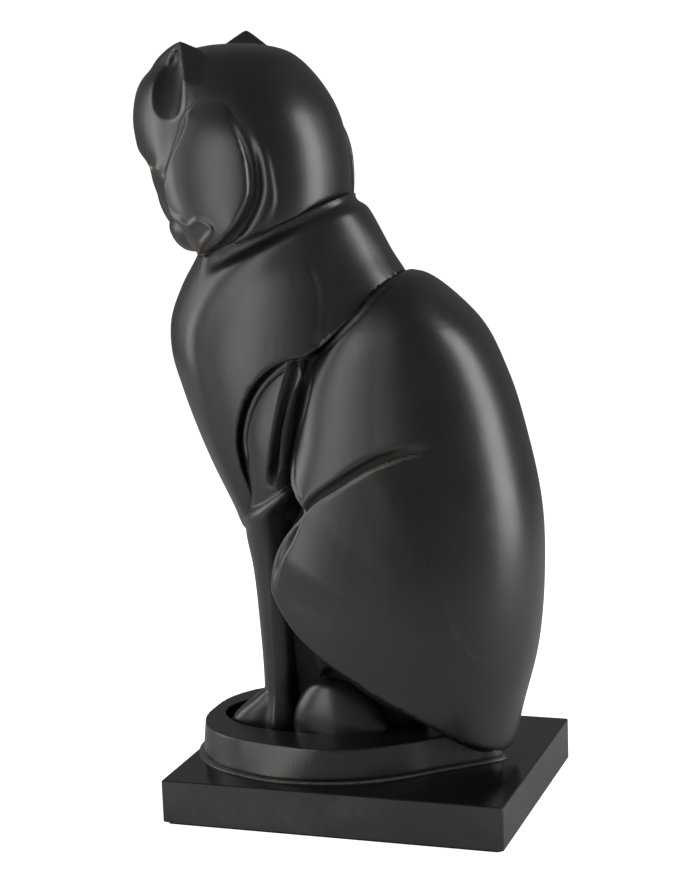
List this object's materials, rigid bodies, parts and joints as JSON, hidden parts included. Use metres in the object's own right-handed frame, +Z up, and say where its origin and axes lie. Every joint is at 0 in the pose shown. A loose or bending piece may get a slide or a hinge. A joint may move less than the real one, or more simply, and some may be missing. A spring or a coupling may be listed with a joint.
{
  "type": "seated cat statuette",
  "caption": "Stylised seated cat in dark bronze, head turned and bowed, tail wrapped round the feet, on a rectangular black stone plinth.",
  "frame": {"origin": "centre of the underside of the base felt, where the statuette rests", "axes": "+Z up; the cat's body faces -Y and its left side is +X; the head is turned towards -X"},
  "size_m": [0.19, 0.2889, 0.5305],
  "materials": {
    "dark_bronze": "satin",
    "raw_bronze": "matte",
    "black_stone": "polished",
    "felt": "matte",
    "zinc_steel": "satin"
  },
  "bodies": {
    "root": {"tail_casting": "dark_bronze", "floor_casting": "dark_bronze", "body_casting": "dark_bronze", "chest_casting": "dark_bronze", "head_casting": "dark_bronze", "foreleg_left": "dark_bronze", "foreleg_right": "dark_bronze", "hind_paw_left": "dark_bronze", "hind_paw_right": "dark_bronze", "mounting_bosses": "raw_bronze", "neck_sleeve": "raw_bronze", "chest_sleeve": "raw_bronze", "plinth": "black_stone", "base_felt": "felt", "mounting_bolts": "zinc_steel", "bolt_washers": "zinc_steel"}
  },
  "joints": []
}
